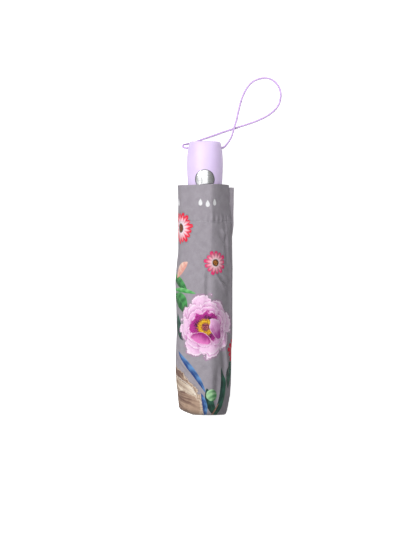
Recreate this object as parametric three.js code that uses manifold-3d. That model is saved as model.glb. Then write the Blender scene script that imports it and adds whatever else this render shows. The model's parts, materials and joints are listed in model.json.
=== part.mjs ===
// Compact folding umbrella, furled and lying in its fabric sleeve. Units are millimetres, +Z up.
// The shaft runs along Y, with the handle at +Y. The origin is under the middle, on the surface it lies on.
import * as THREE from 'three';
import { mergeVertices } from 'three/addons/utils/BufferGeometryUtils.js';
import Module from 'manifold-3d';

const wasm = await Module();
wasm.setup();

// ---- driving dimensions ----
const LENGTH = 280;
const HALF_LENGTH = LENGTH / 2;
const SLEEVE_LENGTH = 235;
const SLEEVE_HALF_WIDTH = 28.5;
const SLEEVE_HALF_HEIGHT = 25;
const SLEEVE_WALL = 0.9;
const AXIS_HEIGHT = SLEEVE_HALF_HEIGHT;

const RIB_COUNT = 6;
const RIB_STEP = (2 * Math.PI) / RIB_COUNT;
const RIB_THICK = 2;
const RIB_DEPTH = 2.8;
const LAP_GAP = 0.3;
const EAR_RADIUS = 1.5;
const EAR_TAPER = 6;

const CROWN_Y = -120;            // height of the crown's rib pivots along the shaft
const PIVOT_RADIUS = 11.2;       // crown and runner pivots, from the shaft's axis
const RUNNER_PIVOT = 165;        // the rest are measured from the crown's pivots, towards the handle
const STRETCHER_LENGTH = 95;
const KNEE = 180;                // inner to middle rib hinge
const KNEE_RADIUS = 13.25;
const ELBOW = 4;                 // middle to outer rib hinge
const ELBOW_RADIUS = 16.9;
const OUTER_TIP = 184;

const MIDDLE_RIB_IN = 13.9;
const OUTER_RIB_IN = 17.1;

const CLOTH = 0.25;
const INNER_CLOTH_RADIUS = 12.85;
const MIDDLE_CLOTH_RADIUS = 13.4;
const OUTER_CLOTH_RADIUS = 20.2;

const TUBE_WALL = 0.7;
const UPPER_TUBE_RADIUS = 6.5;
const MIDDLE_TUBE_RADIUS = 5.4;
const LOWER_TUBE_RADIUS = 4.3;
const ROUND_SEGMENTS = 36;

const HANDLE_BOTTOM = 70;
const HANDLE_WALL = 2.4;
const BUTTON_Y = 100.8;
const BUTTON_HOLE_RADIUS = 10;
const BUTTON_RADIUS = 9.4;
const BUTTON_INNER = 13;         // underside of the button, from the shaft's axis
const BUTTON_PROUD = 0.5;

const CAP_RADIUS = 11.6;
const CORE_BARREL = 8.6;         // radii of the inner carrier's barrel and of its two flanges
const CORE_LOW_FLANGE = 11.4;
const CORE_HIGH_FLANGE = 13.2;
const CORE_BOTTOM = 72;
const CORE_TOP = 124;
const FLANGE = 3;

const HUB_RADIUS = 13.2;
const RUNNER_RADIUS = 12.4;
const SLOT_FLOOR = 8.1;
const SLOT_WIDTH = 6.4;
const HUB_BELOW = 5;             // the crown hub's ends, from its pivots
const HUB_ABOVE = 3;
const RUNNER_HALF = 4;

const UPPER_TUBE = [-126, 60];   // ends of the shaft's tubes along the shaft, when shut
const MIDDLE_TUBE = [-110, 64];
const LOWER_TUBE = [-100, 119];
const OPENING_SPRING = [-92, 60];

const STRAP_LENGTH = 58;
const STRAP_WIDTH = 12;
const STRAP_THICK = 0.6;

const CORD_DIAMETER = 2.2;
const CORD_HOLE_RADIUS = 1.9;
const CORD_HOLE_Y = 133;

// ---- materials ----
const COLOURS = {
  sleeve: [0x77727c, 0.85, 0],
  canopy: [0x77727c, 0.8, 0],
  handle: [0xd9c2f2, 0.45, 0],
  button: [0xc9ccce, 0.12, 1],
  steel: [0xb4b6ba, 0.3, 1],
  frame: [0x3a3a3e, 0.45, 0.7],
  plastic: [0x2b2b2f, 0.5, 0],
  cord: [0xc9a2e6, 0.6, 0],
};

function material(name) {
  const [color, roughness, metalness] = COLOURS[name];
  return new THREE.MeshStandardMaterial({ color, roughness, metalness });
}

// ---- helpers ----
function piece(name, geometry, materialName) {
  const mesh = new THREE.Mesh(geometry, material(materialName));
  mesh.name = name;
  return mesh;
}

function solid(geometry) {
  const bare = geometry.clone();
  bare.deleteAttribute('normal');
  bare.deleteAttribute('uv');
  const merged = mergeVertices(bare, 1e-4);
  return new wasm.Manifold(new wasm.Mesh({
    numProp: 3,
    vertProperties: Float32Array.from(merged.attributes.position.array),
    triVerts: Uint32Array.from(merged.index.array),
  }));
}

function geometryOf(manifold) {
  const mesh = manifold.getMesh();
  const geometry = new THREE.BufferGeometry();
  geometry.setAttribute('position', new THREE.BufferAttribute(mesh.vertProperties, 3));
  geometry.setIndex(new THREE.BufferAttribute(mesh.triVerts, 1));
  geometry.computeVertexNormals();
  return geometry;
}

function turned(profile) {
  const points = profile.map(([radius, y]) => new THREE.Vector2(radius, y));
  return new THREE.LatheGeometry(points, ROUND_SEGMENTS);
}

function tube(outer, inner, low, high) {
  return turned([[inner, low], [outer, low], [outer, high], [inner, high], [inner, low]]);
}

function box(width, height, depth, x, y, z) {
  return new THREE.BoxGeometry(width, height, depth).translate(x, y, z);
}

function alongY(shape, low, high, curveSegments = 8) {
  const options = { depth: high - low, bevelEnabled: false, curveSegments };
  return new THREE.ExtrudeGeometry(shape, options).rotateX(Math.PI / 2).translate(0, high, 0);
}

function around(index) {
  const group = new THREE.Group();
  group.rotation.y = -index * RIB_STEP;
  return group;
}

function roundSection(radius, sides) {
  const section = new THREE.Shape();
  for (let i = 0; i < sides; i += 1) {
    const angle = (i / sides) * 2 * Math.PI;
    const x = radius * Math.cos(angle);
    const y = radius * Math.sin(angle);
    if (i === 0) section.moveTo(x, y);
    else section.lineTo(x, y);
  }
  section.closePath();
  return section;
}

// A spring of round wire about the Y axis, with its first turn at y = low.
function coilSpring(radius, wire, low, high, turns, stepsPerTurn, sides) {
  class Helix extends THREE.Curve {
    getPoint(t) {
      const angle = t * turns * 2 * Math.PI;
      const y = low + (high - low) * t;
      return new THREE.Vector3(radius * Math.cos(angle), y, radius * Math.sin(angle));
    }
  }
  const options = { steps: turns * stepsPerTurn, extrudePath: new Helix(), bevelEnabled: false };
  return new THREE.ExtrudeGeometry(roundSection(wire, sides), options);
}

// ---- sleeve ----
// An oval with a flat facet on the underside, so that the sleeve lies still.
function oval(halfWidth, halfHeight) {
  const sides = 24;
  const shape = new THREE.Shape();
  for (let i = 0; i < sides; i += 1) {
    const angle = ((i + 0.5) / sides) * 2 * Math.PI;
    const flatten = Math.cos(Math.PI / sides);
    const x = halfWidth * Math.cos(angle) / flatten;
    const z = halfHeight * Math.sin(angle) / flatten;
    if (i === 0) shape.moveTo(x, z);
    else shape.lineTo(x, z);
  }
  shape.closePath();
  return shape;
}

function sleeve() {
  const bottom = -HALF_LENGTH;
  const top = bottom + SLEEVE_LENGTH;
  const outer = solid(alongY(oval(SLEEVE_HALF_WIDTH, SLEEVE_HALF_HEIGHT), bottom, top));
  const hollow = oval(SLEEVE_HALF_WIDTH - SLEEVE_WALL, SLEEVE_HALF_HEIGHT - SLEEVE_WALL);
  const inner = solid(alongY(hollow, bottom + SLEEVE_WALL, top + 1));
  return piece('sleeve', geometryOf(outer.subtract(inner)), 'sleeve');
}

// ---- handle ----
// Half-widths of the barrel, from its end in the sleeve to its top.
const BARREL = [
  [14.6, HANDLE_BOTTOM], [16.0, 80], [17.1, 92], [18.1, 104], [18.5, 114], [18.3, 124],
  [17.6, 131], [16.8, 136], [15.9, 138.6], [14.4, HALF_LENGTH - 0.2],
];

function barrelOutline(growth) {
  return BARREL.map(([radius, y]) => [radius + growth, y]);
}

function handleShell() {
  const outside = barrelOutline(0);
  const inside = barrelOutline(-HANDLE_WALL).reverse();
  const shell = solid(turned([...outside, ...inside, outside[0]]));
  const buttonHole = new THREE.CylinderGeometry(BUTTON_HOLE_RADIUS, BUTTON_HOLE_RADIUS, 20, 40);
  buttonHole.rotateX(Math.PI / 2).translate(0, BUTTON_Y, 20);
  const cordHole = new THREE.CylinderGeometry(CORD_HOLE_RADIUS, CORD_HOLE_RADIUS, 60, 16);
  cordHole.rotateZ(Math.PI / 2).translate(0, CORD_HOLE_Y, 0);
  const open = shell.subtract(solid(buttonHole)).subtract(solid(cordHole));
  return piece('handle_shell', geometryOf(open), 'handle');
}

function handleEndCap() {
  const spigot = CAP_RADIUS - 1.6;
  const under = HALF_LENGTH - 2.6;
  const plug = [
    [0, under - 1.8], [spigot, under - 1.8], [spigot, under], [CAP_RADIUS, under],
    [CAP_RADIUS, HALF_LENGTH - 0.5], [CAP_RADIUS - 0.6, HALF_LENGTH],
    [7, HALF_LENGTH - 0.4], [0, HALF_LENGTH - 0.8],
  ];
  return piece('handle_end_cap', turned(plug), 'handle');
}

// The inner carrier holds the lowest tube, with a flange at each end that locates the shell.
function handleCore() {
  const bore = LOWER_TUBE_RADIUS + LAP_GAP;
  const core = [
    [bore, CORE_BOTTOM], [CORE_LOW_FLANGE, CORE_BOTTOM], [CORE_LOW_FLANGE, CORE_BOTTOM + FLANGE],
    [CORE_BARREL, CORE_BOTTOM + FLANGE], [CORE_BARREL, CORE_TOP - FLANGE],
    [CORE_HIGH_FLANGE, CORE_TOP - FLANGE], [CORE_HIGH_FLANGE, CORE_TOP], [bore, CORE_TOP],
    [bore, CORE_BOTTOM],
  ];
  return piece('handle_core', turned(core), 'plastic');
}

function pushButton() {
  const outside = barrelOutline(BUTTON_PROUD);
  const body = solid(turned([[0, outside[0][1]], ...outside, [0, HALF_LENGTH]]));
  const cutter = new THREE.CylinderGeometry(BUTTON_RADIUS, BUTTON_RADIUS, 20, 40);
  cutter.rotateX(Math.PI / 2).translate(0, BUTTON_Y, BUTTON_INNER + 10);
  return piece('push_button', geometryOf(body.intersect(solid(cutter))), 'button');
}

function buttonSpring() {
  const radius = 3.2;
  const wire = 0.35;
  const seat = CORE_BARREL + 0.6;
  const spring = coilSpring(radius, wire, seat, BUTTON_INNER - 0.6, 3, 14, 6);
  spring.rotateX(Math.PI / 2).translate(0, BUTTON_Y, 0);
  return piece('button_spring', spring, 'steel');
}

// ---- shaft ----
function shaftTubes() {
  const upper = tube(UPPER_TUBE_RADIUS, UPPER_TUBE_RADIUS - TUBE_WALL, ...UPPER_TUBE);
  const middle = tube(MIDDLE_TUBE_RADIUS, MIDDLE_TUBE_RADIUS - TUBE_WALL, ...MIDDLE_TUBE);
  const lower = tube(LOWER_TUBE_RADIUS, LOWER_TUBE_RADIUS - TUBE_WALL, ...LOWER_TUBE);
  return [
    piece('shaft_upper_tube', upper, 'steel'),
    piece('shaft_middle_tube', middle, 'steel'),
    piece('shaft_lower_tube', lower, 'steel'),
  ];
}

function openingSpring() {
  const radius = 2.6;
  const wire = 0.45;
  return piece('opening_spring', coilSpring(radius, wire, ...OPENING_SPRING, 14, 10, 5), 'steel');
}

// A slot for each rib or stretcher, cut through a round flange.
function slotted(profile, low, high) {
  let hub = solid(turned(profile));
  const reach = 12;
  for (let i = 0; i < RIB_COUNT; i += 1) {
    const slot = box(reach, high - low + 2, SLOT_WIDTH, SLOT_FLOOR + reach / 2, (low + high) / 2, 0);
    slot.rotateY(-i * RIB_STEP);
    hub = hub.subtract(solid(slot));
  }
  return geometryOf(hub);
}

function crownHub() {
  const bore = UPPER_TUBE_RADIUS + LAP_GAP;
  const low = CROWN_Y - HUB_BELOW;
  const high = CROWN_Y + HUB_ABOVE;
  const profile = [[bore, low], [HUB_RADIUS, low], [HUB_RADIUS, high], [bore, high], [bore, low]];
  return piece('crown_hub', slotted(profile, low, high), 'plastic');
}

// The dome that closes the crown, just under its hub.
function crownCap() {
  const under = CROWN_Y - HUB_BELOW - 1.3;
  const dome = [[0, -137], [3, -136.8], [6.5, -135.4], [9.4, -132.6], [11.6, -128.8], [12.6, under], [0, under]];
  return piece('crown_cap', turned(dome), 'plastic');
}

function runner() {
  const bore = UPPER_TUBE_RADIUS + 0.4;
  const pivot = CROWN_Y + RUNNER_PIVOT;
  const low = pivot - RUNNER_HALF;
  const high = pivot + RUNNER_HALF;
  const lip = 9.2;
  const top = pivot + 13.4;
  const profile = [
    [bore, low], [RUNNER_RADIUS, low], [RUNNER_RADIUS, high], [SLOT_FLOOR, high],
    [SLOT_FLOOR, top - 3.4], [lip, top - 1.4], [lip, top], [bore, top], [bore, low],
  ];
  return piece('runner', slotted(profile, low, high), 'plastic');
}

// ---- frame ----
// A flat bar in a rib's own plane: X is away from the shaft, Y along it, Z across it.
// side is the half of the lap joint that the bar takes: -1 or +1. Each end is a round ear on its hinge.
function bar(side, inside, [lowRadius, low], [highRadius, high]) {
  const outside = inside + RIB_DEPTH;
  const shape = new THREE.Shape();
  shape.moveTo(inside, low + EAR_TAPER);
  shape.lineTo(inside, high - EAR_TAPER);
  shape.lineTo(highRadius - EAR_RADIUS, high);
  shape.absarc(highRadius, high, EAR_RADIUS, Math.PI, 0, true);
  shape.lineTo(outside, high - EAR_TAPER);
  shape.lineTo(outside, low + EAR_TAPER);
  shape.lineTo(lowRadius + EAR_RADIUS, low);
  shape.absarc(lowRadius, low, EAR_RADIUS, 0, -Math.PI, true);
  shape.closePath();
  const options = { depth: RIB_THICK, bevelEnabled: false, curveSegments: 6 };
  const nearFace = side > 0 ? LAP_GAP : -LAP_GAP - RIB_THICK;
  return new THREE.ExtrudeGeometry(shape, options).translate(0, CROWN_Y, nearFace);
}

function rib(index) {
  const number = index + 1;
  const inside = PIVOT_RADIUS - RIB_DEPTH / 2;
  const crownPivot = [PIVOT_RADIUS, 0];
  const knee = [KNEE_RADIUS, KNEE];
  const elbow = [ELBOW_RADIUS, ELBOW];
  const tip = [OUTER_RIB_IN + RIB_DEPTH / 2, OUTER_TIP];
  const stretcherTip = [PIVOT_RADIUS, RUNNER_PIVOT - STRETCHER_LENGTH];
  const runnerPivot = [PIVOT_RADIUS, RUNNER_PIVOT];
  const group = around(index);
  group.add(
    piece(`rib_inner_${number}`, bar(-1, inside, crownPivot, knee), 'frame'),
    piece(`rib_middle_${number}`, bar(1, MIDDLE_RIB_IN, elbow, knee), 'frame'),
    piece(`rib_outer_${number}`, bar(-1, OUTER_RIB_IN, elbow, tip), 'frame'),
    piece(`stretcher_${number}`, bar(1, inside, stretcherTip, runnerPivot), 'frame'),
  );
  return group;
}

// ---- canopy ----
// One furled strip of cloth between two neighbouring ribs, as part of a thin round wall.
function clothStrip(radius, clearance, low, high) {
  const shape = new THREE.Shape();
  shape.absarc(0, 0, radius + CLOTH, clearance, RIB_STEP - clearance, false);
  shape.absarc(0, 0, radius, RIB_STEP - clearance, clearance, true);
  shape.closePath();
  return alongY(shape, CROWN_Y + low, CROWN_Y + high, 6);
}

function gore(index) {
  const number = index + 1;
  const nearRib = 0.24;
  const nearOuterRib = 0.15;
  const inner = clothStrip(INNER_CLOTH_RADIUS, nearRib, 5, KNEE - 2);
  const middle = clothStrip(MIDDLE_CLOTH_RADIUS, nearRib, 5, KNEE - 2);
  const outer = clothStrip(OUTER_CLOTH_RADIUS, nearOuterRib, 5, OUTER_TIP - 2);
  const group = around(index);
  group.add(
    piece(`canopy_inner_${number}`, inner, 'canopy'),
    piece(`canopy_middle_${number}`, middle, 'canopy'),
    piece(`canopy_outer_${number}`, outer, 'canopy'),
  );
  return group;
}

// The strap that ties the furled canopy lies along the first outer rib, with its snap end free.
function tieStrap() {
  const strap = box(STRAP_THICK, STRAP_LENGTH, STRAP_WIDTH, 21.4, 30, 0);
  const group = around(0);
  group.add(piece('tie_strap', strap, 'canopy'));
  return group;
}

// ---- wrist cord ----
// Out of the handle's right side, round in one loose loop on the surface, and back in at the left.
// Heights here are above the surface that the umbrella lies on.
const CORD_POINTS = [
  [16.6, 133, 25], [19.6, 134, 24.6], [22.4, 137, 22.2], [24.8, 140.4, 18], [27.2, 144.8, 12.6],
  [28.9, 149.8, 7.8], [30.3, 155.3, 4.6], [32.3, 161.8, 2.9], [34.2, 170.2, 1.5], [36.1, 178.4, 1.15],
  [38.9, 187.1, 1.15], [42.9, 195, 1.15], [48, 201.3, 1.15], [54.3, 204.7, 1.15], [61.8, 206.1, 1.15],
  [68.5, 204.6, 1.15], [74, 200, 1.15], [77.3, 194.1, 1.15], [78.1, 187.5, 1.15], [76.4, 179.5, 1.15],
  [71.3, 172.5, 1.15], [63.7, 166.9, 1.15], [55.1, 162.6, 1.15], [44.9, 158.8, 1.15], [36.2, 156, 1.15],
  [27.5, 153.1, 1.2], [18, 150, 1.6], [10.1, 147.2, 2.6], [1, 143.9, 4.8], [-7, 140.9, 8.2],
  [-13.6, 138.6, 12.8], [-18.8, 137.4, 18], [-22.2, 136.2, 22.4], [-22.4, 134.2, 24.7],
  [-19.8, 133.1, 25], [-16.6, 133, 25],
];

function wristCord() {
  const points = CORD_POINTS.map(([x, y, z]) => new THREE.Vector3(x, y, z - AXIS_HEIGHT));
  const route = new THREE.CatmullRomCurve3(points, false, 'centripetal');
  const options = { steps: 90, extrudePath: route, bevelEnabled: false };
  return piece('wrist_cord', new THREE.ExtrudeGeometry(roundSection(CORD_DIAMETER / 2, 8), options), 'cord');
}

// ---- assembly ----
const umbrella = new THREE.Group();
umbrella.position.z = AXIS_HEIGHT;
umbrella.add(sleeve(), handleShell(), handleEndCap(), handleCore(), pushButton(), buttonSpring());
umbrella.add(...shaftTubes(), openingSpring(), crownHub(), crownCap(), runner());
for (let i = 0; i < RIB_COUNT; i += 1) umbrella.add(rib(i), gore(i));
umbrella.add(tieStrap(), wristCord());

export default umbrella;
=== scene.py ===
"""The looks of a compact folding umbrella, furled and lying in its printed sleeve.

Lengths are in metres, in the CAD model's own frame: +Y along the shaft towards the handle, +Z up.
"""
import json
import math

import bpy
import bmesh
import numpy as np
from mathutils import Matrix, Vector, noise


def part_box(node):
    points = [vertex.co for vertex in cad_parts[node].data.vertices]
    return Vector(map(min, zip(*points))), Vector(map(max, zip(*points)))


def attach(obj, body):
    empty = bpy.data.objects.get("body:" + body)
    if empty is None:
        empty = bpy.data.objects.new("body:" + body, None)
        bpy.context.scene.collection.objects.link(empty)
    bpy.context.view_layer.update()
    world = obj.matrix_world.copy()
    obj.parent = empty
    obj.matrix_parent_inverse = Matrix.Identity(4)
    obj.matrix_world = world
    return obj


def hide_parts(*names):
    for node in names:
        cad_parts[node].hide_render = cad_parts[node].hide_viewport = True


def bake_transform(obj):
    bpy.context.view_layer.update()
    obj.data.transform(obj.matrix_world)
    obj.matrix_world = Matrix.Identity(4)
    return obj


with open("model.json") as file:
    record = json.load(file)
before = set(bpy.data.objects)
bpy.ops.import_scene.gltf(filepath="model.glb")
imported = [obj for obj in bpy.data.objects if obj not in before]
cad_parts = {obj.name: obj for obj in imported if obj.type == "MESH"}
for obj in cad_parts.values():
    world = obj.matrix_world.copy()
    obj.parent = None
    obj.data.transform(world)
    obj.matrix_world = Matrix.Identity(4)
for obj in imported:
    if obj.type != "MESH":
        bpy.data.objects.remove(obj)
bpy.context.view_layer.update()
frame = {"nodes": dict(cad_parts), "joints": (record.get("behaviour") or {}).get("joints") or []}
nodes = frame["nodes"]
joints = {j["name"]: j for j in frame["joints"]}
MM = 0.001

# ---- sizes read from the frame ----
sleeve_low, sleeve_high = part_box("sleeve")
button_low, button_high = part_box("push_button")
crown_low, crown_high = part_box("crown_hub")
AXIS_Z = (sleeve_low.z + sleeve_high.z) / 2
MOUTH_Y = sleeve_high.y
BOTTOM_Y = sleeve_low.y

# ---- camera: straight above, as far back as a long lens stands ----
CAMERA_HEIGHT = 4.0
SENSOR = 36
VIEW_CENTRE = (3.2 * MM, 0.5 * MM)
VIEW_TALL = 0.567
# the view is that tall at this height, near the top of the sleeve
VIEW_LEVEL = AXIS_Z + 10 * MM
camera_data = bpy.data.cameras.new("camera")
camera_data.sensor_fit = "VERTICAL"
camera_data.sensor_height = SENSOR
camera_data.lens = SENSOR * (CAMERA_HEIGHT - VIEW_LEVEL) / VIEW_TALL
camera_data.clip_end = 20
camera = bpy.data.objects.new("camera", camera_data)
camera.location = (*VIEW_CENTRE, CAMERA_HEIGHT)
bpy.context.scene.collection.objects.link(camera)
bpy.context.scene.camera = camera


# ---- the wrist cord's route, as the CAD model has it, in millimetres ----
CORD_DIAMETER = 2.2
CORD_POINTS = [
    (16.6, 133, 25), (19.6, 134, 24.6), (22.4, 137, 22.2), (24.8, 140.4, 18), (27.2, 144.8, 12.6),
    (28.9, 149.8, 7.8), (30.3, 155.3, 4.6), (32.3, 161.8, 2.9), (34.2, 170.2, 1.5), (36.1, 178.4, 1.15),
    (38.9, 187.1, 1.15), (42.9, 195, 1.15), (48, 201.3, 1.15), (54.3, 204.7, 1.15), (61.8, 206.1, 1.15),
    (68.5, 204.6, 1.15), (74, 200, 1.15), (77.3, 194.1, 1.15), (78.1, 187.5, 1.15), (76.4, 179.5, 1.15),
    (71.3, 172.5, 1.15), (63.7, 166.9, 1.15), (55.1, 162.6, 1.15), (44.9, 158.8, 1.15), (36.2, 156, 1.15),
    (27.5, 153.1, 1.2), (18, 150, 1.6), (10.1, 147.2, 2.6), (1, 143.9, 4.8), (-7, 140.9, 8.2),
    (-13.6, 138.6, 12.8), (-18.8, 137.4, 18), (-22.2, 136.2, 22.4), (-22.4, 134.2, 24.7),
    (-19.8, 133.1, 25), (-16.6, 133, 25),
]


# ---- formulas as shader nodes ----
def feed(tree, slot, value):
    """Links a Formula or a socket to a node's input, or sets the input to a number or a colour."""
    if isinstance(value, Formula):
        tree.links.new(value.socket, slot)
    elif isinstance(value, bpy.types.NodeSocket):
        tree.links.new(value, slot)
    elif isinstance(value, tuple):
        slot.default_value = (*value, 1)
    else:
        slot.default_value = value


class Formula:
    """A number in a node tree. Arithmetic on it adds Math nodes."""

    def __init__(self, tree, socket):
        self.tree = tree
        self.socket = socket

    def math(self, operation, *others):
        node = self.tree.nodes.new("ShaderNodeMath")
        node.operation = operation
        for slot, value in zip(node.inputs, (self, *others)):
            feed(self.tree, slot, value)
        return Formula(self.tree, node.outputs[0])

    def __add__(self, other):
        return self.math("ADD", other)

    def __sub__(self, other):
        return self.math("SUBTRACT", other)

    def __mul__(self, other):
        return self.math("MULTIPLY", other)

    def __truediv__(self, other):
        return self.math("DIVIDE", other)

    def power(self, other):
        return self.math("POWER", other)

    def sin(self):
        return self.math("SINE")

    def fraction(self):
        return self.math("FRACT")

    def absolute(self):
        return self.math("ABSOLUTE")

    def least(self, other):
        return self.math("MINIMUM", other)

    def most(self, other):
        return self.math("MAXIMUM", other)

    def root(self):
        return self.math("SQRT")

    def angle_from(self, x):
        return self.math("ARCTAN2", x)

    def step(self, low, high):
        """0 below low and 1 above high, smooth between them. high may be the lower one."""
        node = self.tree.nodes.new("ShaderNodeMapRange")
        node.interpolation_type = "SMOOTHSTEP"
        for slot, value in zip(node.inputs, (self, low, high, 0.0, 1.0)):
            feed(self.tree, slot, value)
        return Formula(self.tree, node.outputs[0])


def mixed(tree, factor, first, second, blend="MIX"):
    """A colour socket between first and second, which are colour sockets or (r, g, b)."""
    node = tree.nodes.new("ShaderNodeMix")
    node.data_type = "RGBA"
    node.blend_type = blend
    for index, value in ((0, factor), (6, first), (7, second)):
        feed(tree, node.inputs[index], value)
    return node.outputs[2]


def combined(tree, x, y, z=0.0):
    node = tree.nodes.new("ShaderNodeCombineXYZ")
    for slot, value in zip(node.inputs, (x, y, z)):
        feed(tree, slot, value)
    return node.outputs[0]


def noise_of(tree, vector, scale, detail=2.0, roughness=0.5):
    node = tree.nodes.new("ShaderNodeTexNoise")
    node.inputs["Scale"].default_value = scale
    node.inputs["Detail"].default_value = detail
    node.inputs["Roughness"].default_value = roughness
    tree.links.new(vector, node.inputs["Vector"])
    return Formula(tree, node.outputs["Fac"])


# ---- the flower print ----
# Positions on the cloth are in millimetres: across from the front's middle line, and along the shaft.
PRINT_INPUTS = ("Across", "Along", "Fine", "Coarse")


def new_group(name, numbers, takes_colour=False):
    """A node group that gives a colour, and its inputs: numbers, and a colour if it takes one."""
    group = bpy.data.node_groups.new(name, "ShaderNodeTree")
    for label in numbers:
        group.interface.new_socket(label, in_out="INPUT", socket_type="NodeSocketFloat")
    if takes_colour:
        group.interface.new_socket("Color", in_out="INPUT", socket_type="NodeSocketColor")
    group.interface.new_socket("Color", in_out="OUTPUT", socket_type="NodeSocketColor")
    return group, group.nodes.new("NodeGroupInput").outputs


def finish_group(group, colour):
    group.links.new(colour, group.nodes.new("NodeGroupOutput").inputs[0])


def picture_layer(draw):
    """Makes a Print method draw in a node group of its own, which keeps each tree small."""
    def drawn(self, *args, **kwargs):
        group, source = new_group("print_" + draw.__name__, PRINT_INPUTS, takes_colour=True)
        layer = Print(group, [Formula(group, source[k]) for k in range(4)], source[4])
        draw(layer, *args, **kwargs)
        finish_group(group, layer.colour)
        node = self.tree.nodes.new("ShaderNodeGroup")
        node.node_tree = group
        for slot, value in zip(node.inputs, (self.across, self.along, self.fine, self.coarse, self.colour)):
            feed(self.tree, slot, value)
        self.colour = node.outputs[0]
    return drawn


class Print:
    """Paints flowers over a ground colour, one over the other."""

    def __init__(self, tree, fields, colour):
        self.tree = tree
        self.across, self.along, self.fine, self.coarse = fields
        self.colour = colour

    def paint(self, mask, colour):
        self.colour = mixed(self.tree, mask, self.colour, colour)

    def local(self, x, y, turn=0.0):
        """Distances from a point, turned so that the first runs along the turn, in degrees."""
        dx = self.across - x
        dy = self.along - y
        c = math.cos(math.radians(turn))
        s = math.sin(math.radians(turn))
        return dx * c + dy * s, dy * c - dx * s

    @picture_layer
    def daisy(self, x, y, radius, petals, turn, gap, tip, middle, base, eye):
        """A ring of blunt petals round a seeded eye. gap is how far in the petals part, from 1 to 0."""
        dx, dy = self.local(x, y, turn)
        angle = dy.angle_from(dx)
        r = ((dx * dx + dy * dy).root() + self.fine * (0.09 * radius)) / radius
        turnings = angle * (petals / (2 * math.pi)) + 0.5
        place = turnings.fraction()
        number = turnings - place
        side = (place - 0.5).absolute() * 2.0
        reach = (number * 2.4 + x).sin() * 0.06 + 0.96 - side.power(3.0) * 0.22
        parted = side.step(0.62, 0.95) * r.step(gap, gap + 0.2)
        streak = noise_of(self.tree, combined(self.tree, r * 1.5, place * 14.0, number), 1.0, 2.0)
        blush = (r + side * 0.28 + streak * 0.5 - 0.25).step(0.52, 0.92)
        colour = mixed(self.tree, r.step(0.18, 0.5), base, middle)
        colour = mixed(self.tree, blush, colour, tip)
        mask = (reach - r).step(0.0, 0.05)
        self.paint((reach + 0.08 - r).step(0.0, 0.06) * 0.5, (0.10, 0.22, 0.24))
        self.paint(mask * (parted * -0.8 + 1.0), colour)
        eye_radius = 0.25
        seeds = noise_of(self.tree, combined(self.tree, dx * 1.4, dy * 1.4, x), 1.0, 2.0)
        core = mixed(self.tree, seeds.step(0.42, 0.6), (0.09, 0.025, 0.012), eye)
        self.paint((r + seeds * 0.06).step(eye_radius + 0.10, eye_radius + 0.03), (0.05, 0.02, 0.02))
        self.paint(r.step(eye_radius, eye_radius - 0.06), core)

    @picture_layer
    def petal(self, x, y, length, width, turn, dark, light, rim, streaks=0.35):
        """A broad ruffled petal from its base at (x, y), dark at the base and pale at the rim."""
        dx, dy = self.local(x, y, turn)
        t = dx / length
        side = dy / (width / 2) / (t * 0.55 + 0.60)
        around = (t - 0.5) * 2.0
        waves = (side * 5.0 + self.coarse * 9.0 + x).sin() * t * 0.13
        ruffle = self.fine * 0.35 + self.coarse * 0.7
        edge = around * around + side * side + ruffle + waves
        lines = noise_of(self.tree, combined(self.tree, side * 5.0, t * 1.1, x), 1.0, 3.0, 0.6) - 0.5
        shade = t - side * side * 0.18 + lines * (2 * streaks) + self.coarse * 0.5
        colour = mixed(self.tree, shade.step(0.10, 0.95), dark, light)
        colour = mixed(self.tree, edge.step(0.80, 0.97) * 0.8, colour, rim)
        self.paint(edge.step(1.14, 1.0) * 0.45, dark)
        self.paint(edge.step(1.03, 0.97), colour)

    @picture_layer
    def leaf(self, x0, y0, x1, y1, width, dark, light, bend=0.0):
        """A pointed blade from one end to the other, bent sideways by bend at its middle."""
        length = math.hypot(x1 - x0, y1 - y0)
        turn = math.degrees(math.atan2(y1 - y0, x1 - x0))
        dx, dy = self.local(x0, y0, turn)
        t = dx / length
        arch = t * (t * -1.0 + 1.0) * 4.0
        side = (dy - arch * bend) / width
        inside = arch.most(0.0).power(0.75) - side.absolute() * 2.0 + self.fine * 0.10
        veins = ((t * 26.0 - side.absolute() * 5.0).sin() * 0.5 + 0.5) * 0.35
        shade = (side * 0.9 + 0.5 + self.coarse * 0.8 - veins).step(0.0, 1.0)
        colour = mixed(self.tree, shade, dark, light)
        colour = mixed(self.tree, side.absolute().step(0.05, 0.0) * 0.6, colour, light)
        self.paint(inside.step(-0.02, 0.12) * t.step(0.0, 0.02) * t.step(1.0, 0.98), colour)

    @picture_layer
    def ring(self, x, y, reach, petals, turn, dark, light, rim):
        """Overlapping ruffled petals round a point, as far out as reach."""
        dx, dy = self.local(x, y, turn)
        r = (dx * dx + dy * dy).root() / reach
        turnings = dy.angle_from(dx) * (petals / (2 * math.pi)) + self.coarse * 0.9 + 0.5
        place = turnings.fraction()
        number = turnings - place
        chance = (number * 2.7 + reach).sin()
        side = (place - 0.5) * 2.0
        ruffle = self.fine * 0.10 + self.coarse * 0.22
        edge = chance * 0.05 + 0.95 - side.absolute().power(3.0) * 0.16 + ruffle
        depth = r / edge
        lines = noise_of(self.tree, combined(self.tree, place * 7.0, r * 1.3, number), 1.0, 3.0, 0.6) - 0.5
        fold = side.step(0.35, 1.0) * 0.42
        shade = depth * 1.1 + lines * 0.75 + chance * 0.14 - fold + self.coarse * 0.6
        colour = mixed(self.tree, shade.step(0.28, 1.12), dark, light)
        colour = mixed(self.tree, depth.step(0.90, 0.985) * 0.75, colour, rim)
        self.paint(depth.step(1.07, 0.99) * 0.45, dark)
        self.paint(depth.step(1.0, 0.975), colour)

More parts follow.
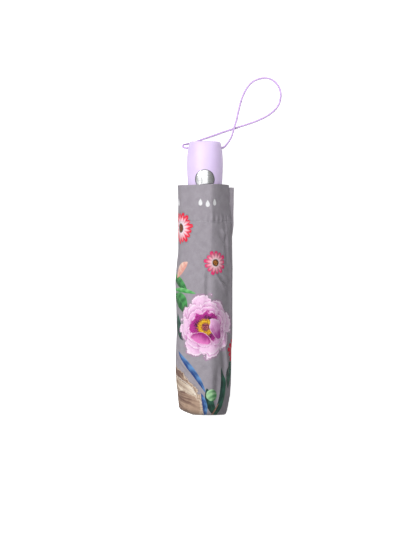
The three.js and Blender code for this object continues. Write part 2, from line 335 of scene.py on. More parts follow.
    @picture_layer
    def heart(self, x, y, radius):
        """A bloom's dark cup, its ring of gold stamens and the pips in the middle."""
        dx, dy = self.local(x, y)
        r = (dx * dx + dy * dy).root() / radius
        cup = r + self.coarse * 0.4 + self.fine * 0.14
        dark = (cup + self.fine * 0.4).step(0.22, 0.44)
        purple = mixed(self.tree, dark, (0.055, 0.006, 0.045), (0.50, 0.03, 0.30))
        self.paint(cup.step(0.50, 0.44), purple)
        grain = noise_of(self.tree, combined(self.tree, dx * 0.8, dy * 0.8, y), 1.0, 2.0)
        gold = mixed(self.tree, grain.step(0.40, 0.62), (0.50, 0.16, 0.01), (0.95, 0.66, 0.03))
        self.paint(((r - 0.185).absolute() + (grain - 0.5) * 0.30).step(0.085, 0.055), gold)
        pips = mixed(self.tree, grain.step(0.5, 0.58), (0.16, 0.02, 0.07), (0.55, 0.16, 0.10))
        self.paint(r.step(0.125, 0.095), pips)

    def bloom(self, x, y, radius, turn):
        """A double flower: rings of petals, each with more colour than the last, round the heart."""
        for share, petals, shift, colours in BLOOM_RINGS:
            self.ring(x, y, share * radius, petals, turn + shift, *colours)
        self.ring(x - 0.05 * radius, y - 0.10 * radius, 0.42 * radius, 5, turn + 25, *MAGENTA)
        self.heart(x - 0.02 * radius, y, radius)
        self.petal(x - 0.10 * radius, y - 0.17 * radius, radius * 0.36, radius * 0.76, 252, *MAGENTA)
        self.petal(x + radius * 0.46, y - radius * 0.40, radius * 0.70, radius * 0.44, 112, *ROSE)

    @picture_layer
    def bud(self, x, y, radius, turn):
        dx, dy = self.local(x, y, turn)
        r = (dx * dx + dy * dy).root() / radius
        stripe = ((dy / radius + (dx * dx) / (radius * radius) * 0.3) * 8.0).sin()
        light = stripe * 0.22 - dx / radius * 0.35 + dy / radius * 0.3 + 0.5
        colour = mixed(self.tree, light.step(0.0, 1.0), (0.07, 0.27, 0.10), (0.45, 0.74, 0.42))
        self.paint(r.step(1.0, 0.94), colour)

    @picture_layer
    def drops(self, x, y):
        """Three plain raindrops side by side, again and again round the cloth."""
        place = ((self.across - x) / DROPS_APART + 0.5).fraction() * DROPS_APART - DROPS_APART / 2
        number = (place / DROP_SPACING).math("ROUND").least(1.0).most(-1.0)
        dx = (place - number * DROP_SPACING) / DROP_HEIGHT
        t = (self.along - y - number * number * 1.4) / DROP_HEIGHT + 0.5
        width = (t * -1.0 + 1.0).most(0.0) * t.most(0.0).power(0.5) * 1.6
        self.paint((width - dx.absolute() * 2.0).step(0.0, 0.16) * t.step(0.0, 0.03), (0.82, 0.82, 0.84))


GREEN = ((0.02, 0.12, 0.035), (0.10, 0.42, 0.12))
DARK_GREEN = ((0.012, 0.040, 0.032), (0.035, 0.15, 0.095))
FRESH_GREEN = ((0.05, 0.30, 0.07), (0.25, 0.68, 0.24))
BLUE = ((0.02, 0.06, 0.22), (0.14, 0.32, 0.62))
PEACH = ((0.80, 0.36, 0.30), (0.92, 0.68, 0.56))
# petals: at the base, towards the rim, at the rim
LILAC = ((0.52, 0.14, 0.42), (0.92, 0.62, 0.85), (0.97, 0.86, 0.95))
ROSE = ((0.44, 0.05, 0.33), (0.90, 0.48, 0.79), (0.97, 0.84, 0.94))
MAGENTA = ((0.34, 0.015, 0.20), (0.78, 0.20, 0.55), (0.94, 0.66, 0.86))
CREAM = ((0.26, 0.15, 0.10), (0.84, 0.72, 0.58), (0.92, 0.84, 0.74))
BROWN = ((0.16, 0.09, 0.07), (0.48, 0.33, 0.24), (0.74, 0.60, 0.46))
BLOOM_RINGS = ((1.02, 8, 10, LILAC), (0.86, 7, 75, LILAC), (0.68, 6, 20, ROSE), (0.54, 5, 150, ROSE))
# daisies: tip, middle, base, eye
CRIMSON = ((0.82, 0.01, 0.05), (0.95, 0.72, 0.80), (0.95, 0.86, 0.90), (0.30, 0.10, 0.03))
PINK = ((0.78, 0.03, 0.16), (0.93, 0.52, 0.60), (0.95, 0.86, 0.84), (0.55, 0.20, 0.03))
SCARLET = ((0.78, 0.01, 0.06), (0.85, 0.05, 0.10), (0.90, 0.45, 0.04), (0.60, 0.35, 0.02))
GROUND = ((0.315, 0.288, 0.325), (0.365, 0.336, 0.378))
# the raindrops, in millimetres: from one three to the next, from drop to drop, and how tall one is
DROPS_APART = 43
DROP_SPACING = 7.4
DROP_HEIGHT = 7.5


def draw_front(art):
    """The front, from the mouth down."""
    art.leaf(-36, -36, -25, -64, 10, *DARK_GREEN, bend=-3)
    art.leaf(-42, -17, -20, -36, 17, *GREEN, bend=4)
    art.leaf(-46, 3, -19, -13, 10, *GREEN, bend=2)
    art.leaf(-43, -12, -9, -16, 5, *FRESH_GREEN, bend=1.5)
    art.leaf(-37, 0, -18.5, 16.5, 10, *PEACH, bend=1)
    art.leaf(42, -82, 31, -113, 12, *DARK_GREEN, bend=-4)
    art.daisy(43.5, -74, 14, 13, 10, 0.5, *SCARLET)
    art.bloom(1.5, -50, 33, 0)
    art.leaf(-33, -74, 1.2, -117.5, 6, *BLUE, bend=3)
    art.petal(-60, -84, 70, 36, -44, *BROWN, streaks=1.1)
    art.petal(-58, -98, 62, 34, -36, *CREAM, streaks=1.1)
    art.petal(-56, -118, 58, 32, -22, *BROWN, streaks=1.1)
    art.leaf(19, -91, 9.5, -142, 8.5, *DARK_GREEN, bend=7)
    art.leaf(2, -112, 13, -143, 9, *DARK_GREEN, bend=-2)
    art.leaf(-4, -117, 0, -143, 5, *BLUE, bend=2)
    art.leaf(16, -128, 5, -142, 1.6, (0.25, 0.12, 0.08), (0.50, 0.28, 0.20))
    art.bud(7.4, -119.4, 6.2, 20)
    art.daisy(-29.5, 51, 17, 17, 8, 0.78, *CRIMSON)
    art.daisy(11.5, 15.5, 13, 13, 4, 0.42, *PINK)
    art.drops(3, 76)


def draw_back(art):
    """The sides and the back."""
    art.leaf(58, 78, 68, 40, 9, *GREEN, bend=4)
    art.leaf(60, 12, 78, -22, 8, *FRESH_GREEN, bend=-3)
    art.daisy(66, 30, 14, 15, 20, 0.5, *PINK)
    art.leaf(-80, -20, -62, -58, 9, *GREEN, bend=5)
    art.leaf(-62, 70, -76, 44, 8, *DARK_GREEN, bend=-3)
    art.bloom(-72, 12, 24, 100)
    art.daisy(-72, -84, 14, 16, 33, 0.7, *CRIMSON)
    art.leaf(62, -84, 76, -126, 8, *BLUE, bend=5)
    art.daisy(72, -116, 13, 14, 50, 0.5, *PINK)
    art.drops(3, 76)


def print_group(name, draw):
    """A node group: a position on the cloth, in millimetres, to the print's colour."""
    group, source = new_group(name, PRINT_INPUTS[:2])
    across, along = (Formula(group, source[k]) for k in (0, 1))
    point = combined(group, across, along)
    fine = noise_of(group, point, 0.9, 3.0) - 0.5
    coarse = noise_of(group, point, 0.16, 3.0) - 0.5
    ground = mixed(group, coarse.step(-0.25, 0.25), *GROUND)
    art = Print(group, (across, along, fine, coarse), ground)
    draw(art)
    finish_group(group, art.colour)
    return group


# ---- materials ----
def new_material(name):
    material = bpy.data.materials.new(name)
    material.use_nodes = True
    tree = material.node_tree
    shader = tree.nodes["Principled BSDF"]
    return material, tree, shader


def bump(tree, shader, height, strength, distance):
    node = tree.nodes.new("ShaderNodeBump")
    node.inputs["Strength"].default_value = strength
    node.inputs["Distance"].default_value = distance
    tree.links.new(height.socket, node.inputs["Height"])
    tree.links.new(node.outputs[0], shader.inputs["Normal"])


def object_point(tree):
    return tree.nodes.new("ShaderNodeTexCoord").outputs["Object"]


def split(tree, vector):
    node = tree.nodes.new("ShaderNodeSeparateXYZ")
    tree.links.new(vector, node.inputs[0])
    return [Formula(tree, node.outputs[i]) for i in range(3)]


FRONT_PRINT = print_group("front_print", draw_front)
BACK_PRINT = print_group("back_print", draw_back)
# where the canopy's print repeats, in millimetres, and how much of the height lies below the origin
PRINT_WIDE = 170.0
PRINT_TALL = 250.0
PRINT_BELOW = 0.6


def cloth_material(name, flowers, repeat, roughness, weave):
    """Printed cloth. Its UV map is in metres, across and along the cloth."""
    material, tree, shader = new_material(name)
    uv = tree.nodes.new("ShaderNodeUVMap")
    uv.uv_map = "cloth"
    across, along, _ = split(tree, uv.outputs[0])
    across = across * 1000.0
    along = along * 1000.0
    if repeat:
        x = ((across / PRINT_WIDE + 0.5).fraction() - 0.5) * PRINT_WIDE
        y = ((along / PRINT_TALL + PRINT_BELOW).fraction() - PRINT_BELOW) * PRINT_TALL
    else:
        x = across
        y = along
    group = tree.nodes.new("ShaderNodeGroup")
    group.node_tree = flowers
    tree.links.new(x.socket, group.inputs[0])
    tree.links.new(y.socket, group.inputs[1])
    warp = (across * (2 * math.pi / weave)).sin()
    weft = (along * (2 * math.pi / weave)).sin()
    threads = warp * weft
    slub = noise_of(tree, combined(tree, across * 0.4, along * 2.4), 1.0, 2.0)
    tone = threads * 0.10 + slub * 0.30 + 0.80
    shaded = mixed(tree, 1.0, group.outputs[0], combined(tree, tone, tone, tone), "MULTIPLY")
    tree.links.new(shaded, shader.inputs["Base Color"])
    rough = slub * 0.12 + (roughness - 0.06)
    tree.links.new(rough.socket, shader.inputs["Roughness"])
    shader.inputs["Sheen Weight"].default_value = 0.15
    shader.inputs["Sheen Roughness"].default_value = 0.4
    shader.inputs["Specular IOR Level"].default_value = 0.3
    bump(tree, shader, threads * 0.5 + slub * 0.6, 0.35, 0.00012)
    return material


def plastic_material(name, colour, pale, roughness, grain, coat=0.0):
    """Moulded plastic: faint mottling, a fine grain, and slightly uneven gloss."""
    material, tree, shader = new_material(name)
    point = object_point(tree)
    cloud = noise_of(tree, point, 60.0, 3.0)
    pits = noise_of(tree, point, 2200.0, 2.0)
    scuff = noise_of(tree, point, 350.0, 4.0, 0.7)
    tree.links.new(mixed(tree, cloud.step(0.3, 0.7), colour, pale), shader.inputs["Base Color"])
    tree.links.new((scuff * 0.16 + (roughness - 0.08)).socket, shader.inputs["Roughness"])
    shader.inputs["Coat Weight"].default_value = coat
    bump(tree, shader, pits * grain + scuff * 0.1, 0.25, 0.0001)
    return material


def metal_material(name, colour, roughness, brushed, stretch=(1, 1, 1)):
    """Bright metal with fine brushing or, for plating, only slight haze and wipe marks."""
    material, tree, shader = new_material(name)
    mapping = tree.nodes.new("ShaderNodeMapping")
    mapping.inputs["Scale"].default_value = stretch
    tree.links.new(object_point(tree), mapping.inputs["Vector"])
    lines = noise_of(tree, mapping.outputs[0], 1800.0, 3.0)
    haze = noise_of(tree, object_point(tree), 140.0, 3.0)
    shade = tuple(c * 0.86 for c in colour)
    tree.links.new(mixed(tree, haze.step(0.35, 0.65), shade, colour), shader.inputs["Base Color"])
    shader.inputs["Metallic"].default_value = 1.0
    tree.links.new((lines * brushed + haze * 0.06 + roughness).socket, shader.inputs["Roughness"])
    bump(tree, shader, lines, 0.05 + brushed * 0.4, 0.00005)
    return material


def lacquer_material(name, colour, worn):
    """Black lacquer on steel, worn brighter where the surface is scuffed."""
    material, tree, shader = new_material(name)
    point = object_point(tree)
    scuff = noise_of(tree, point, 420.0, 5.0, 0.75)
    speck = noise_of(tree, point, 1500.0, 2.0)
    wear = (scuff * 0.7 + speck * 0.3).step(0.60, 0.70)
    tree.links.new(mixed(tree, wear * 0.5, colour, worn), shader.inputs["Base Color"])
    tree.links.new((wear * 0.3).socket, shader.inputs["Metallic"])
    tree.links.new((speck * 0.2 + 0.28).socket, shader.inputs["Roughness"])
    bump(tree, shader, scuff, 0.15, 0.0001)
    return material


BRAID_PER_METRE = 900.0
BRAID_STRANDS = 4.0


def braid_material(name, dark, light):
    """A round braid: two sets of strands that cross, from a UV map along and round the cord. dark is a
    shaded tone and light a lit tone of one lavender: the dark is painted shade in the hollows between the
    strands, mottled by random fuzz.
    """
    material, tree, shader = new_material(name)
    uv = tree.nodes.new("ShaderNodeUVMap")
    uv.uv_map = "cord"
    along, round_it, _ = split(tree, uv.outputs[0])
    first = ((along * BRAID_PER_METRE + round_it * BRAID_STRANDS) * (2 * math.pi)).sin()
    second = ((along * BRAID_PER_METRE - round_it * BRAID_STRANDS) * (2 * math.pi)).sin()
    weave = first.most(second)
    fuzz = noise_of(tree, object_point(tree), 2500.0, 2.0)
    # painted shade: the shaded tone lies in the hollows between the strands, mottled by random fuzz
    shade = (weave * 0.4 + fuzz * 0.5 + 0.2).step(0.0, 1.0)
    tree.links.new(mixed(tree, shade, dark, light), shader.inputs["Base Color"])
    shader.inputs["Roughness"].default_value = 0.62
    shader.inputs["Sheen Weight"].default_value = 0.3
    bump(tree, shader, weave * 0.5 + fuzz * 0.4, 0.5, 0.00015)
    return material


sleeve_cloth = cloth_material("sleeve_cloth_front", FRONT_PRINT, False, 0.78, 0.42)
sleeve_back_cloth = cloth_material("sleeve_cloth_back", BACK_PRINT, False, 0.78, 0.42)
canopy_cloth = cloth_material("canopy_cloth", FRONT_PRINT, True, 0.62, 0.30)
lavender = plastic_material("lavender_soft_touch", (0.760, 0.610, 0.925), (0.790, 0.650, 0.940), 0.48, 0.5)
black_plastic = plastic_material(
    "black_plastic", (0.022, 0.022, 0.025), (0.035, 0.035, 0.038), 0.34, 0.2, coat=0.2)
chrome = metal_material("button_chrome", (0.83, 0.84, 0.85), 0.16, 0.02)
tube_steel = metal_material("tube_steel", (0.62, 0.63, 0.65), 0.20, 0.16, (1, 0.04, 1))
spring_steel = metal_material("spring_steel", (0.50, 0.51, 0.52), 0.25, 0.10)
frame_lacquer = lacquer_material("frame_lacquer", (0.022, 0.022, 0.026), (0.30, 0.30, 0.31))
# the wrist cord: a painted-shade tone and a lit tone of one lavender
braid = braid_material("lavender_braid", (0.30, 0.13, 0.50), (0.78, 0.58, 0.92))
thread = plastic_material("grey_thread", (0.40, 0.38, 0.42), (0.55, 0.52, 0.57), 0.7, 0.6)


# ---- mesh helpers ----
WELD = 1e-7


def smooth_shade(mesh):
    mesh.polygons.foreach_set("use_smooth", [True] * len(mesh.polygons))


def mesh_object(name, points, faces, material):
    mesh = bpy.data.meshes.new(name)
    mesh.from_pydata([tuple(map(float, p)) for p in points], [], faces)
    mesh.validate()
    mesh.materials.append(material)
    smooth_shade(mesh)
    piece = bpy.data.objects.new(name, mesh)
    bpy.context.scene.collection.objects.link(piece)
    return piece


def grid_faces(rows, columns, closed):
    """Quads between rows of points; closed joins each row's last point to its first."""
    faces = []
    last = columns if closed else columns - 1
    for i in range(rows - 1):
        for j in range(last):
            k = (j + 1) % columns
            faces.append((i * columns + j, i * columns + k, (i + 1) * columns + k, (i + 1) * columns + j))
    return faces


def set_uv(piece, name, per_vertex, wrap=None, wrapped=0):
    """A UV map from each vertex's (u, v). wrap is the width round a closed piece, along u or v.

    wrapped says which: 0 for u, 1 for v.
    """
    mesh = piece.data
    layer = mesh.uv_layers.new(name=name)
    values = np.array(per_vertex, float)
    for polygon in mesh.polygons:
        high = max(values[v][wrapped] for v in polygon.vertices)
        for loop, vertex in zip(polygon.loop_indices, polygon.vertices):
            place = values[vertex].copy()
            if wrap and high - place[wrapped] > wrap / 2:
                place[wrapped] += wrap
            layer.data[loop].uv = place


def weld(piece):
    """Joins points that lie together, and turns every face outwards."""
    work = bmesh.new()
    work.from_mesh(piece.data)
    bmesh.ops.remove_doubles(work, verts=work.verts, dist=WELD)
    bmesh.ops.recalc_face_normals(work, faces=work.faces)
    work.to_mesh(piece.data)
    work.free()


def apply_modifiers(piece):
    graph = bpy.context.evaluated_depsgraph_get()
    mesh = bpy.data.meshes.new_from_object(piece.evaluated_get(graph))
    piece.modifiers.clear()
    piece.data = mesh


def turned(name, profile, segments, material):
    """A body turned about the shaft's axis from (radius, y) pairs. Pairs on the axis close it."""
    points = []
    for radius, y in profile:
        for j in range(segments):
            a = 2 * math.pi * j / segments
            points.append((radius * math.sin(a), y, AXIS_Z + radius * math.cos(a)))
    faces = grid_faces(len(profile), segments, True)
    piece = mesh_object(name, points, faces, material)
    weld(piece)
    return piece


def smooth_profile(pairs, steps):
    """A Catmull-Rom curve through (a, b) pairs."""
    points = [np.array(p, float) for p in pairs]
    points = [2 * points[0] - points[1], *points, 2 * points[-1] - points[-2]]
    out = []
    for i in range(1, len(points) - 2):
        p0, p1, p2, p3 = points[i - 1:i + 3]
        for k in range(steps):
            t = k / steps
            out.append(0.5 * (2 * p1 + (p2 - p0) * t + (2 * p0 - 5 * p1 + 4 * p2 - p3) * t * t
                              + (3 * p1 - p0 - 3 * p2 + p3) * t ** 3))
    out.append(points[-2])
    return [tuple(p) for p in out]


# ---- sleeve ----
SLEEVE_AROUND = 224
SLEEVE_LENGTHWISE = 200
CLOTH = 0.7 * MM
HEM_DEPTH = 38 * MM
# How square the section is: at the upper left, the upper right and below. 2 is an ellipse.
LEFT_SQUARE = 2.3
RIGHT_SQUARE = 1.3
BELOW_SQUARE = 2.2
# How far the front's ridge lies to the right of the axis.
RIDGE_SHIFT = 6.5 * MM
# The front print reaches this far round on each side. The back print takes over there.
FRONT_REACH = 55 * MM


def along_table(y, table):
    return np.interp(y, [p[0] * MM for p in table], [p[1] * MM for p in table])


# Half-widths at the left and the right, and heights above the axis, each with its place along the shaft.
LEFT_SIDE = [(-140, 13), (-139, 16), (-137, 21), (-134.4, 25.6), (-132, 26.8), (-125, 27.6), (-112, 28.6),
             (-96, 29.6), (-80, 29.3), (-50, 28), (-25, 28.4), (-5, 29.2), (5, 28.6), (30, 27.2), (60, 27.2),
             (96, 27.4)]
RIGHT_SIDE = [(-140, 20), (-139, 21.6), (-136, 22.8), (-130, 24), (-120, 26), (-108, 26.6), (-70, 26.6),
              (-40, 27.2), (0, 28), (40, 28), (52, 27.4), (62, 26), (78, 24.8), (96, 24.2)]
TOP_SIDE = [(-140, 15), (-139, 17.4), (-136, 20), (-128, 22.6), (-100, 24), (-40, 24.4), (0, 24.2),
            (50, 24), (80, 23.6), (96, 23)]
# Creases: from and to (across, along), width and height, all in millimetres. A minus height is a dent.
CREASES = [
    (-0.5, 9, -1.2, -24, 2.2, 0.75), (3.4, 8, 3.0, -24, 3.0, -0.55),
    (12, 2.5, 27, -15, 1.5, 0.75), (15, 3.5, 29, -11, 1.4, -0.6), (18, 6, 30, -4, 1.6, 0.5),
    (25, 62, 27, 14, 1.8, -0.55), (-6, 34, 6, 27, 3.0, -0.35), (-2, 88, 10, 52, 5.0, 0.5),
    (-24, 90, -17, 60, 4.0, -0.45), (18, 50, 30, 40, 2.0, 0.6), (16, 45, 28, 33, 2.0, -0.5),
    (-30, -30, -24, -75, 3.0, -0.5), (24, -60, 30, -96, 2.4, 0.7), (20, -66, 25, -104, 3.0, -0.6),
    (28, -90, 18, -134, 2.6, 0.8), (14, -92, 12, -136, 4.0, -0.7), (5, -98, -2, -134, 3.6, 0.5),
    (-36, -76, -18, -94, 1.6, 0.6), (-34, -82, -16, -99, 1.4, -0.5), (-30, -98, -8, -112, 2.6, 0.4),
    (-14, -118, -22, -138, 2.6, -0.6), (-6, -84, 6, -92, 3.0, 0.4), (34, 20, 38, -70, 3.0, 0.6),
    (-44, 70, -40, -110, 3.5, 0.6), (-50, 40, -52, -60, 3.0, -0.6), (50, 70, 46, -120, 4.0, 0.6),
]
CREASE_GAIN = 2.2
# Soft unevenness: size, stretch along the shaft and height, with sizes in metres, and a seed.
UNEVENNESS = ((26 * MM, 2.2, 0.9 * MM, 1.3), (9 * MM, 2.0, 0.30 * MM, 5.1))
NOISE_RADIUS = 30 * MM
# The hem: puckers round the sleeve, their height, and the groove that the stitches lie in.
PUCKERS = 26
PUCKER_HEIGHT = 0.65 * MM
HEM_GROOVE = 0.5 * MM
# The mouth's rim, and how far the cloth stays above the floor.
RIM_BEAD = 0.25 * MM
RIM_WAVE = 0.5 * MM
FLOOR_GAP = 0.25 * MM


def crease_height(across, along):
    total = np.zeros_like(across)
    for x0, y0, x1, y1, width, height in CREASES:
        start = np.array((x0, y0)) * MM
        run = np.array((x1, y1)) * MM - start
        t = ((across - start[0]) * run[0] + (along - start[1]) * run[1]) / (run @ run)
        near = np.clip(t, 0, 1)
        dx = across - start[0] - near * run[0]
        dy = along - start[1] - near * run[1]
        fade = np.sin(np.pi * np.clip(near * 0.9 + 0.05, 0, 1)) ** 0.6
        total += CREASE_GAIN * height * MM * fade * np.exp(-(dx * dx + dy * dy) / (width * MM) ** 2)
    return total


def noise_field(x, y, z):
    """Smooth noise at every point of three arrays of one shape."""
    values = [noise.noise(Vector(place)) for place in zip(x.ravel(), y.ravel(), z.ravel())]
    return np.array(values).reshape(x.shape)


def ridge(distance, width):
    return np.exp(-(distance / width) ** 2)


def sleeve_surface():
    """The outer face in rows of points, from the bottom to the mouth, and how far round each one is.

    The last result is the cloth's mean width all the way round.
    """
    turn = np.linspace(0, 2 * np.pi, SLEEVE_AROUND, endpoint=False)
    y = np.linspace(BOTTOM_Y, MOUTH_Y, SLEEVE_LENGTHWISE)
    a, yy = np.meshgrid(turn, y)
    s, c = np.sin(a), np.cos(a)
    half = np.where(s > 0, along_table(yy, RIGHT_SIDE), along_table(yy, LEFT_SIDE))
    tall = along_table(yy, TOP_SIDE)
    # the underside is flattened by what the sleeve lies on
    tall = np.where(c < 0, np.minimum(tall + 0.4 * MM, AXIS_Z), tall)
    square = np.where(c < 0, BELOW_SQUARE, np.where(s > 0, RIGHT_SQUARE, LEFT_SQUARE))
    x = half * np.sign(s) * np.abs(s) ** (2 / square) + RIDGE_SHIFT * np.maximum(c, 0) ** 2
    z = tall * np.sign(c) * np.abs(c) ** (2 / square)
    # how far round the cloth each point is, from the ridge, to the right and to the left
    step = np.hypot(np.diff(x, axis=1, append=x[:, :1]), np.diff(z, axis=1, append=z[:, :1]))
    travel = np.concatenate([np.zeros((len(y), 1)), np.cumsum(step, axis=1)[:, :-1]], axis=1)
    whole = step.sum(axis=1, keepdims=True)
    across = np.where(turn[None, :] <= np.pi, travel, travel - whole) + RIDGE_SHIFT
    lift = crease_height(across, yy)
    for size, stretch, height, seed in UNEVENNESS:
        field = noise_field(NOISE_RADIUS * s / size, yy / size / stretch, NOISE_RADIUS * c / size + seed)
        lift += height * field
    hem = MOUTH_Y - HEM_DEPTH
    lift -= HEM_GROOVE * ridge(yy - hem, 1.0 * MM)
    pucker = np.sin(across / (whole / PUCKERS) * 2 * np.pi) * ridge(yy - hem - 3 * MM, 3.4 * MM)
    lift += PUCKER_HEIGHT * pucker * (0.4 + 0.6 * (s > -0.2))
    lift += RIM_BEAD * ridge(yy - MOUTH_Y, 1.2 * MM)
    x = x + lift * s
    z = np.maximum(z + lift * c + AXIS_Z, FLOOR_GAP)
    rim_wave = RIM_WAVE * np.sin(a * 2 + 0.6) * np.clip((yy - MOUTH_Y + 20 * MM) / (20 * MM), 0, 1)
    return np.stack([x, yy + rim_wave, z], axis=-1), across, float(whole.mean())


def outwards(row):
    """Unit directions from the shaft's axis to each point of a row."""
    out = row - np.array([0, 0, AXIS_Z])
    out[:, 1] = 0
    return out / np.linalg.norm(out, axis=1, keepdims=True)


def make_sleeve():
    outer, across, around = sleeve_surface()
    rows = list(outer)
    measures = [np.stack([across[i], outer[i][:, 1]], axis=-1) for i in range(len(outer))]
    # over the rim
    rim = outer[-1]
    for turn in (0.25, 0.5, 0.75):
        rolled = rim - outwards(rim) * CLOTH * (1 - math.cos(math.pi * turn)) / 2
        rolled[:, 1] += CLOTH / 2 * math.sin(math.pi * turn)
        rows.append(rolled)
        measures.append(np.stack([across[-1], rolled[:, 1]], axis=-1))
    # down the inside
    for i in (*range(len(outer) - 1, 3, -2), 3):
        wall = outer[i] - outwards(outer[i]) * CLOTH
        wall[:, 1] = np.maximum(wall[:, 1], BOTTOM_Y + 1.2 * MM)
        rows.append(wall)
        measures.append(np.stack([across[i], 2 * MOUTH_Y - wall[:, 1]], axis=-1))
    # over the closed end's inner face
    inside = rows[-1]
    middle = np.array([0, BOTTOM_Y + 1.4 * MM, AXIS_Z])
    for share in (0.7, 0.35):
        inside = middle + (inside - middle) * share
        rows.append(inside)
        measures.append(measures[-1] * np.array([share, 1]))
    rows.append(np.repeat([[0, BOTTOM_Y + 1.5 * MM, AXIS_Z]], SLEEVE_AROUND, axis=0))
    measures.append(measures[-1])
    faces = grid_faces(len(rows), SLEEVE_AROUND, True)
    piece = mesh_object("sleeve_body", np.concatenate(rows), faces, sleeve_cloth)
    set_uv(piece, "cloth", np.concatenate(measures), around)
    # and its outer face
    work = bmesh.new()
    work.from_mesh(piece.data)
    work.verts.ensure_lookup_table()
    first = work.verts[:SLEEVE_AROUND]
    tip = work.verts.new((0, BOTTOM_Y - 0.2 * MM, AXIS_Z))
    for j in range(SLEEVE_AROUND):
        work.faces.new((first[(j + 1) % SLEEVE_AROUND], first[j], tip))
    work.to_mesh(piece.data)
    work.free()
    weld(piece)
    smooth_shade(piece.data)
    piece.data.materials.append(sleeve_back_cloth)
    cloth = piece.data.uv_layers["cloth"].data
    for polygon in piece.data.polygons:
        place = sum(cloth[loop].uv.x for loop in polygon.loop_indices) / len(polygon.loop_indices)
        polygon.material_index = int(abs(place) > FRONT_REACH)
    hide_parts("sleeve")
    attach(piece, "sleeve")
    return piece, outer, around


# ---- the sleeve's sewing ----
# The side seam's outer edge: its place along the shaft, and how far it stands from the axis.
FLAP_EDGE = [(36, 26.5), (44, 28.3), (54, 29.3), (92.7, 29.7)]
FLAP_ROWS = 90
# across the seam, as shares of its width, and how far each point stands from its middle, in millimetres
FLAP_SECTION = [(0, 0.9), (0.4, 1.1), (0.8, 1.2), (0.95, 0.9), (1.0, 0.5), (0.92, 0.1),
                (0.92, -0.1), (1.0, -0.5), (0.95, -0.9), (0.8, -1.2), (0.4, -1.1), (0, -0.9)]
# Where the seam lies on the cloth, and how wide it is there.
FLAP_PLACE = 60 * MM
FLAP_WIDTH = 6 * MM


def make_seam_flap():
    """The side seam: two edges of cloth sewn together, standing out at the right near the mouth."""
    low, high = (FLAP_EDGE[k][0] * MM for k in (0, -1))
    points = []
    measures = []
    for y in np.linspace(low, high, FLAP_ROWS):
        inner = float(along_table(y, RIGHT_SIDE)) - 2.2 * MM
        edge = float(along_table(y, FLAP_EDGE)) + 0.3 * MM * noise.noise(Vector((y / (12 * MM), 2, 0)))
        height = AXIS_Z - 1 * MM + 0.8 * MM * noise.noise(Vector((y / (20 * MM), 0, 7)))
        for k, (share, stand) in enumerate(FLAP_SECTION):
            ripple = 0.5 * MM * share * math.sin(y / (6 * MM) + (0.8 if stand > 0 else 0))
            points.append((inner + (edge - inner) * share, y, height + stand * MM + ripple))
            measures.append((FLAP_PLACE + share * FLAP_WIDTH, y))
    columns = len(FLAP_SECTION)
    faces = grid_faces(FLAP_ROWS, columns, True)
    faces.append(tuple(range(columns)))
    faces.append(tuple((FLAP_ROWS - 1) * columns + k for k in reversed(range(columns))))
    piece = mesh_object("sleeve_seam", points, faces, sleeve_cloth)
    set_uv(piece, "cloth", measures)
    weld(piece)
    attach(piece, "sleeve")
    return piece


STITCH_LIFT = 0.3 * MM
STITCH_RADIUS = 0.34 * MM


def stitch(work, start, end, lift, radius):
    """One sewn stitch: a short bowed thread between two points, standing off by lift."""
    steps = 6
    sides = 6
    up = lift.normalized()
    rings = []
    run = end - start
    across = run.cross(lift).normalized()
    for k in range(steps + 1):
        t = k / steps
        middle = start.lerp(end, t) + lift * math.sin(math.pi * t)
        fat = radius * (0.35 + 0.65 * math.sin(math.pi * min(max(t, 0.08), 0.92)))
        ring = []
        for j in range(sides):
            a = 2 * math.pi * j / sides
            ring.append(work.verts.new(middle + across * fat * math.cos(a) + up * fat * math.sin(a)))
        rings.append(ring)
    for k in range(steps):
        for j in range(sides):
            m = (j + 1) % sides
            work.faces.new((rings[k][j], rings[k][m], rings[k + 1][m], rings[k + 1][j]))
    work.faces.new(reversed(rings[0]))
    work.faces.new(rings[-1])


def make_hem_stitches(outer):
    """The row of stitches that holds the hem, sunk in its groove."""
    y = MOUTH_Y - HEM_DEPTH
    row = int(round((y - BOTTOM_Y) / (MOUTH_Y - BOTTOM_Y) * (SLEEVE_LENGTHWISE - 1)))
    ring = [Vector(p) for p in outer[row]]
    work = bmesh.new()
    for j in range(0, SLEEVE_AROUND, 2):
        start = ring[j]
        end = ring[j + 1].lerp(ring[(j + 2) % SLEEVE_AROUND], 0.35)
        out = (start + end) / 2 - Vector((0, start.y, AXIS_Z))
        out.y = 0
        stitch(work, start, end, out.normalized() * STITCH_LIFT, STITCH_RADIUS)
    mesh = bpy.data.meshes.new("hem_stitches")
    bmesh.ops.recalc_face_normals(work, faces=work.faces)
    work.to_mesh(mesh)
    work.free()
    smooth_shade(mesh)
    mesh.materials.append(thread)
    piece = bpy.data.objects.new("hem_stitches", mesh)
    bpy.context.scene.collection.objects.link(piece)
    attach(piece, "sleeve")
    return piece


# ---- handle ----
# The barrel's outline, as radius and place along the shaft in millimetres, and the rim round its end.
BARREL = [(14.6, 70), (16.0, 80), (17.1, 92), (18.1, 104), (18.5, 114), (18.3, 124), (17.6, 131),
          (16.8, 136)]
BARREL_TOP = [(16.35, 138.0), (15.7, 139.1), (14.9, 139.7), (13.9, 139.9), (12.6, 139.75), (12.1, 139.3),
              (12.0, 138.4), (12.0, 137.2)]
CAP = [(0, 139.0), (4, 139.1), (8, 139.35), (10.4, 139.75), (11.2, 139.8), (11.6, 139.5), (11.65, 138.8),
       (11.65, 137.4), (10, 137.3), (10, 135.6), (0, 135.6)]
BARREL_STEPS = 7
BUTTON_Y = (button_low.y + button_high.y) / 2
BUTTON_HOLE = 10 * MM
BUTTON_RADIUS = (button_high.y - button_low.y) / 2
BUTTON_PROUD = 0.35
BUTTON_INNER = 13 * MM
CORD_HOLE = 1.9 * MM
HANDLE_SEGMENTS = 144
BUTTON_SEGMENTS = 256
WALL = 2.4
# cutters start inside the handle and end outside it, this far from the axis
CUT_FROM = 8 * MM
CUT_TO = 30 * MM


def in_metres(pairs):
    return [(r * MM, y * MM) for r, y in pairs]


